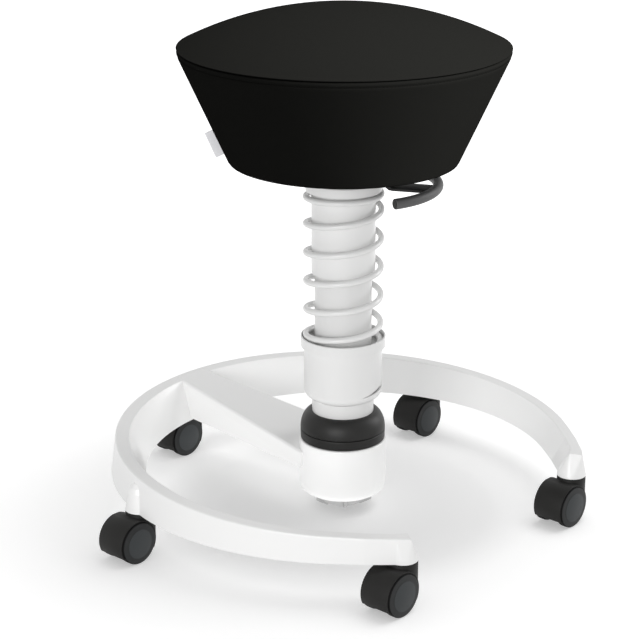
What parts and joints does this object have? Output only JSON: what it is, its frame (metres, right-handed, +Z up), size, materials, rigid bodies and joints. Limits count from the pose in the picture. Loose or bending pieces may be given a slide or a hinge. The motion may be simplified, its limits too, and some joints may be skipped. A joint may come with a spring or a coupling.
{
  "type": "balance stool",
  "caption": "Active sitting stool: round cushioned seat on a sprung, tilting, height-adjustable column rising from an open C-shaped ring base on twin-wheel castors",
  "frame": {"origin": "point on the floor under the column's axis", "axes": "+Z up along the column, +X through the middle of the ring's gap, the arm runs from the column along -X"},
  "size_m": [0.5443, 0.5927, 0.6154],
  "materials": {
    "enamel": "gloss",
    "steel": "satin",
    "spring_enamel": "gloss",
    "lever_steel": "satin",
    "rubber": "matte",
    "castor_plastic": "matte",
    "wheel_plastic": "satin",
    "black_plastic": "matte",
    "knob_plastic": "matte",
    "guide_plastic": "satin",
    "seat_fabric": "woven",
    "tag_fabric": "woven",
    "foam": "matte",
    "plywood": "matte",
    "bracket_metal": "satin"
  },
  "bodies": {
    "base": {"base_casting": "enamel", "castor_stems": "steel", "tilt_carrier": "steel", "carrier_circlip": "steel", "tilt_buffer": "rubber", "preload_plate": "steel"},
    "gimbal": {"gimbal_ring": "steel", "side_pins": "steel", "foot_pins": "steel", "gaiter": "rubber"},
    "column": {"column_foot": "steel", "lower_tube": "enamel", "upper_bush": "guide_plastic", "coil_spring": "spring_enamel"},
    "adjuster": {"spring_cup": "enamel"},
    "knob": {"tension_knob": "knob_plastic", "tension_screw": "steel"},
    "carriage": {"upper_tube": "enamel", "lower_bush": "guide_plastic", "spring_plate": "enamel", "lift_collar": "steel", "bump_stop": "rubber", "gas_sleeve": "steel", "sleeve_bush": "guide_plastic"},
    "rod": {"piston_rod": "steel", "piston": "black_plastic", "rod_clip": "steel"},
    "seat": {"gas_cylinder": "steel", "seat_bracket": "bracket_metal", "bracket_screws": "steel", "lever_pin": "steel", "seat_pan": "plywood", "seat_foam": "foam", "bottom_cover": "seat_fabric", "side_cover": "seat_fabric", "top_cover": "seat_fabric", "side_tag": "tag_fabric"},
    "valve": {"valve_button": "black_plastic"},
    "lever": {"lever_arm": "lever_steel", "lever_handle": "lever_steel"},
    "castor_1": {"castor_housing_1": "castor_plastic", "castor_axle_1": "steel"},
    "left_1": {"wheel_left_1": "wheel_plastic"},
    "right_1": {"wheel_right_1": "wheel_plastic"},
    "castor_2": {"castor_housing_2": "castor_plastic", "castor_axle_2": "steel"},
    "left_2": {"wheel_left_2": "wheel_plastic"},
    "right_2": {"wheel_right_2": "wheel_plastic"},
    "castor_3": {"castor_housing_3": "castor_plastic", "castor_axle_3": "steel"},
    "left_3": {"wheel_left_3": "wheel_plastic"},
    "right_3": {"wheel_right_3": "wheel_plastic"},
    "castor_4": {"castor_housing_4": "castor_plastic", "castor_axle_4": "steel"},
    "left_4": {"wheel_left_4": "wheel_plastic"},
    "right_4": {"wheel_right_4": "wheel_plastic"},
    "castor_5": {"castor_housing_5": "castor_plastic", "castor_axle_5": "steel"},
    "left_5": {"wheel_left_5": "wheel_plastic"},
    "right_5": {"wheel_right_5": "wheel_plastic"}
  },
  "joints": [
    {"name": "tilt_sideways", "type": "hinge", "parent": "base", "child": "gimbal", "pos_m": [0, 0, 0.076], "axis": [1, 0, 0], "range_deg": [-8, 8], "stiffness_Nm_per_rad": 600, "deforming": ["gaiter"]},
    {"name": "tilt_forward", "type": "hinge", "parent": "gimbal", "child": "column", "pos_m": [0, 0, 0.076], "axis": [0, 1, 0], "range_deg": [-8, 8], "stiffness_Nm_per_rad": 600, "deforming": ["gaiter"]},
    {"name": "tension_turn", "type": "hinge", "parent": "base", "child": "knob", "pos_m": [0, 0, 0.02], "axis": [0, 0, 1], "range_deg": [-360, 360]},
    {"name": "cup_turn", "type": "hinge", "parent": "column", "child": "adjuster", "pos_m": [0, 0, 0.18], "axis": [0, 0, 1], "range_deg": [-180, 180]},
    {"name": "bounce", "type": "slide", "parent": "column", "child": "carriage", "axis": [0, 0, 1], "range_m": [-0.045, 0], "stiffness_N_per_m": 9000, "springref_m": 0.04, "deforming": ["coil_spring"]},
    {"name": "seat_swivel", "type": "hinge", "parent": "carriage", "child": "rod", "pos_m": [0, 0, 0.3], "axis": [0, 0, 1], "continuous": true},
    {"name": "gas_lift", "type": "slide", "parent": "rod", "child": "seat", "axis": [0, 0, 1], "range_m": [0, 0.12]},
    {"name": "valve_press", "type": "slide", "parent": "seat", "child": "valve", "axis": [0, 0, -1], "range_m": [0, 0.0034]},
    {"name": "lever_lift", "type": "hinge", "parent": "seat", "child": "lever", "pos_m": [0.02673, 0.01362, 0.431], "axis": [0.454, -0.891, 0], "range_deg": [0, 6], "stiffness_Nm_per_rad": 3, "springref_deg": -2.86},
    {"name": "castor_swivel_1", "type": "hinge", "parent": "base", "child": "castor_1", "pos_m": [-0.08098, -0.26154, 0.04], "axis": [0, 0, 1], "continuous": true},
    {"name": "left_roll_1", "type": "hinge", "parent": "castor_1", "child": "left_1", "pos_m": [-0.08098, -0.28254, 0.025], "axis": [1, 0, 0], "continuous": true},
    {"name": "right_roll_1", "type": "hinge", "parent": "castor_1", "child": "right_1", "pos_m": [-0.08098, -0.28254, 0.025], "axis": [1, 0, 0], "continuous": true},
    {"name": "castor_swivel_2", "type": "hinge", "parent": "base", "child": "castor_2", "pos_m": [0.22927, -0.15773, 0.04], "axis": [0, 0, 1], "continuous": true},
    {"name": "left_roll_2", "type": "hinge", "parent": "castor_2", "child": "left_2", "pos_m": [0.22927, -0.17873, 0.025], "axis": [1, 0, 0], "continuous": true},
    {"name": "right_roll_2", "type": "hinge", "parent": "castor_2", "child": "right_2", "pos_m": [0.22927, -0.17873, 0.025], "axis": [1, 0, 0], "continuous": true},
    {"name": "castor_swivel_3", "type": "hinge", "parent": "base", "child": "castor_3", "pos_m": [0.22927, 0.15773, 0.04], "axis": [0, 0, 1], "continuous": true},
    {"name": "left_roll_3", "type": "hinge", "parent": "castor_3", "child": "left_3", "pos_m": [0.22927, 0.13673, 0.025], "axis": [1, 0, 0], "continuous": true},
    {"name": "right_roll_3", "type": "hinge", "parent": "castor_3", "child": "right_3", "pos_m": [0.22927, 0.13673, 0.025], "axis": [1, 0, 0], "continuous": true},
    {"name": "castor_swivel_4", "type": "hinge", "parent": "base", "child": "castor_4", "pos_m": [-0.08098, 0.26154, 0.04], "axis": [0, 0, 1], "continuous": true},
    {"name": "left_roll_4", "type": "hinge", "parent": "castor_4", "child": "left_4", "pos_m": [-0.08098, 0.24054, 0.025], "axis": [1, 0, 0], "continuous": true},
    {"name": "right_roll_4", "type": "hinge", "parent": "castor_4", "child": "right_4", "pos_m": [-0.08098, 0.24054, 0.025], "axis": [1, 0, 0], "continuous": true},
    {"name": "castor_swivel_5", "type": "hinge", "parent": "base", "child": "castor_5", "pos_m": [-0.271, 0, 0.04], "axis": [0, 0, 1], "continuous": true},
    {"name": "left_roll_5", "type": "hinge", "parent": "castor_5", "child": "left_5", "pos_m": [-0.271, -0.021, 0.025], "axis": [1, 0, 0], "continuous": true},
    {"name": "right_roll_5", "type": "hinge", "parent": "castor_5", "child": "right_5", "pos_m": [-0.271, -0.021, 0.025], "axis": [1, 0, 0], "continuous": true}
  ],
  "couplings": [
    {"joint": "valve_press", "follows": "lever_lift", "m_per_rad": 0.032}
  ]
}
